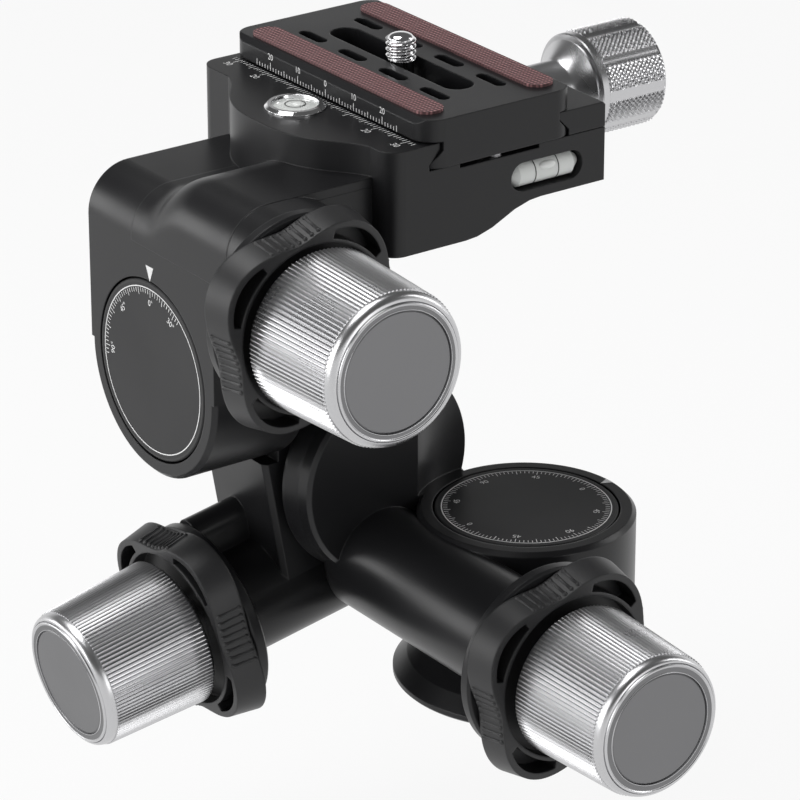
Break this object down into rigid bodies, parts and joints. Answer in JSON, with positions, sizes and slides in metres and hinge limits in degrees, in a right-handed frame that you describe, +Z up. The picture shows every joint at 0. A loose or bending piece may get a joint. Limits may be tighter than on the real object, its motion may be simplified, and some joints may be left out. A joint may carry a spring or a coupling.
{
  "type": "geared tripod head",
  "caption": "Geared three-axis tripod head with knurled worm knobs, lobed release collars, round dials and a quick-release camera clamp.",
  "frame": {"origin": "centre of the tripod thread on the underside of the foot", "axes": "+Z up along the pan axis, +X from the tilt housing toward the clamp knob, -Y toward the pan and tilt knobs"},
  "size_m": [0.1497, 0.1465, 0.141],
  "materials": {
    "black_anodised": "satin black anodised",
    "steel": "turned",
    "bronze": "machined bronze",
    "silver_knob": "knurled, clear anodised",
    "grey_inlay": "matte grey",
    "black_nylon": "fine grain",
    "chrome": "polished",
    "vial": "clear",
    "maroon_rubber": "woven grip"
  },
  "bodies": {
    "base": {"base_foot": "black_anodised", "tripod_insert": "steel", "pan_shaft": "steel", "pan_wheel": "bronze", "pan_nut": "steel", "pan_dial": "black_anodised"},
    "pan_body": {"pan_housing": "black_anodised", "pan_bushing": "bronze", "roll_shaft": "steel", "roll_wheel": "bronze", "roll_nut": "steel", "roll_dial": "black_anodised"},
    "roll_body": {"roll_housing": "black_anodised", "roll_bushing": "bronze", "tilt_shaft": "steel", "tilt_wheel": "bronze", "tilt_nut": "steel", "tilt_dial": "black_anodised"},
    "tilt_body": {"tilt_housing": "black_anodised", "tilt_bushing": "bronze", "clamp_guides": "steel", "round_level_ring": "chrome", "round_level_vial": "vial", "tube_level": "vial"},
    "jaw_body": {"clamp_jaw": "black_anodised", "clamp_washer": "steel"},
    "clamp_drive": {"clamp_screw": "steel", "clamp_knob": "silver_knob"},
    "plate_body": {"camera_plate": "black_anodised", "plate_grips": "maroon_rubber", "plate_stops": "steel"},
    "screw_body": {"camera_screw": "chrome"},
    "pan_release": {"pan_sleeve": "steel", "pan_collar": "black_nylon", "pan_bearings": "steel"},
    "pan_drive": {"pan_worm": "steel", "pan_knob": "silver_knob", "pan_knob_inlay": "grey_inlay"},
    "roll_release": {"roll_sleeve": "steel", "roll_collar": "black_nylon", "roll_bearings": "steel"},
    "roll_drive": {"roll_worm": "steel", "roll_knob": "silver_knob", "roll_knob_inlay": "grey_inlay"},
    "tilt_release": {"tilt_sleeve": "steel", "tilt_collar": "black_nylon", "tilt_bearings": "steel"},
    "tilt_drive": {"tilt_worm": "steel", "tilt_knob": "silver_knob", "tilt_knob_inlay": "grey_inlay"}
  },
  "joints": [
    {"name": "pan_axis", "type": "hinge", "parent": "base", "child": "pan_body", "pos_m": [0, 0, 0.0246], "axis": [0, 0, 1], "continuous": true},
    {"name": "roll_axis", "type": "hinge", "parent": "pan_body", "child": "roll_body", "pos_m": [-0.0215, 0.03726, 0.044], "axis": [0, 1, 0], "range_deg": [-30, 30]},
    {"name": "tilt_axis", "type": "hinge", "parent": "roll_body", "child": "tilt_body", "pos_m": [-0.0593, 0.03726, 0.07303], "axis": [1, 0, 0], "range_deg": [-90, 30]},
    {"name": "pan_release_turn", "type": "hinge", "parent": "pan_body", "child": "pan_release", "pos_m": [-0.0241, 0, 0.0254], "axis": [0, 1, 0], "range_deg": [0, 90], "stiffness_Nm_per_rad": 0.04},
    {"name": "pan_knob_turn", "type": "hinge", "parent": "pan_release", "child": "pan_drive", "pos_m": [-0.0233, 0, 0.0246], "axis": [0, -1, 0], "continuous": true},
    {"name": "roll_release_turn", "type": "hinge", "parent": "roll_body", "child": "roll_release", "pos_m": [-0.01732, 0.03806, 0.02027], "axis": [0.9848, 0, 0.1736], "range_deg": [0, 90], "stiffness_Nm_per_rad": 0.04},
    {"name": "roll_knob_turn", "type": "hinge", "parent": "roll_release", "child": "roll_drive", "pos_m": [-0.01745, 0.03726, 0.02105], "axis": [-0.9848, 0, -0.1736], "continuous": true},
    {"name": "tilt_release_turn", "type": "hinge", "parent": "tilt_body", "child": "tilt_release", "pos_m": [-0.0585, 0.03726, 0.09713], "axis": [0, 1, 0], "range_deg": [0, 90], "stiffness_Nm_per_rad": 0.04},
    {"name": "tilt_knob_turn", "type": "hinge", "parent": "tilt_release", "child": "tilt_drive", "pos_m": [-0.0593, 0.03726, 0.09633], "axis": [0, -1, 0], "continuous": true},
    {"name": "jaw_slide", "type": "slide", "parent": "tilt_body", "child": "jaw_body", "axis": [1, 0, 0], "range_m": [0, 0.004]},
    {"name": "clamp_knob_turn", "type": "hinge", "parent": "jaw_body", "child": "clamp_drive", "pos_m": [0.022, 0.03726, 0.1123], "axis": [1, 0, 0], "continuous": true},
    {"name": "plate_slide", "type": "slide", "parent": "tilt_body", "child": "plate_body", "axis": [0, 1, 0], "range_m": [-0.015, 0.015]},
    {"name": "camera_screw_turn", "type": "hinge", "parent": "plate_body", "child": "screw_body", "pos_m": [-0.0056, 0.03726, 0.1276], "axis": [0, 0, 1], "continuous": true}
  ],
  "couplings": [
    {"joint": "pan_knob_turn", "follows": "pan_axis", "ratio": 45},
    {"joint": "roll_knob_turn", "follows": "roll_axis", "ratio": 45},
    {"joint": "tilt_knob_turn", "follows": "tilt_axis", "ratio": 45},
    {"joint": "clamp_knob_turn", "follows": "jaw_slide", "rad_per_m": -6283.2}
  ]
}
